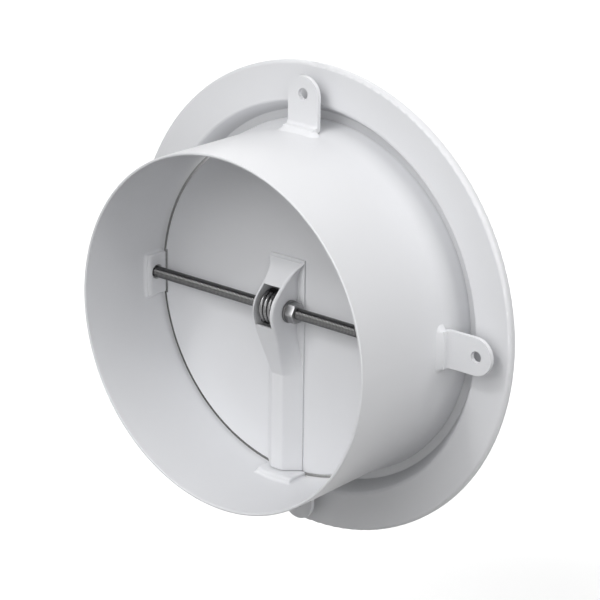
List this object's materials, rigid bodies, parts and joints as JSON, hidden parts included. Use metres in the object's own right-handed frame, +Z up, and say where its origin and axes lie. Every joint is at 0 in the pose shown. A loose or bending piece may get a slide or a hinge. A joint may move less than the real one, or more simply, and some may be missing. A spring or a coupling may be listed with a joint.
{
  "type": "ventilation disc valve",
  "caption": "Round wall valve for a ventilation duct: a flanged spigot with a sprung disc that swings on a threaded rod.",
  "frame": {"origin": "centre of the fixing lugs' hole circle, on the lugs' duct-side face", "axes": "Y along the duct axis, -Y into the duct through the spigot's mouth, +Y to the room, +Z up, rod along X"},
  "size_m": [0.3356, 0.112, 0.3356],
  "materials": {
    "pan_paint": "satin white-grey paint",
    "collar_paint": "satin white-grey paint",
    "lug_paint": "satin white-grey paint",
    "disc_paint": "satin white-grey paint",
    "bracket_paint": "satin white-grey paint",
    "rod_steel": "dark oiled steel",
    "spring_steel": "dark spring steel",
    "zinc_steel": "bright zinc"
  },
  "bodies": {
    "housing": {"flange_pan": "pan_paint", "duct_collar": "collar_paint", "rod_pad_right": "collar_paint", "rod_pad_left": "collar_paint", "bottom_pad": "collar_paint", "threaded_rod": "rod_steel", "washer_left": "zinc_steel", "washer_right": "zinc_steel", "nut_left": "zinc_steel", "nut_right": "zinc_steel", "lug_top": "lug_paint", "lug_right": "lug_paint", "lug_bottom": "lug_paint", "lug_left": "lug_paint"},
    "flap": {"valve_disc": "disc_paint", "disc_bracket": "bracket_paint", "torsion_spring": "spring_steel"}
  },
  "joints": [
    {"name": "disc_swing", "type": "hinge", "parent": "housing", "child": "flap", "pos_m": [0, -0.019, 0.002], "axis": [1, 0, 0], "range_deg": [0, 80], "stiffness_Nm_per_rad": 1.9, "springref_deg": -20.05}
  ]
}
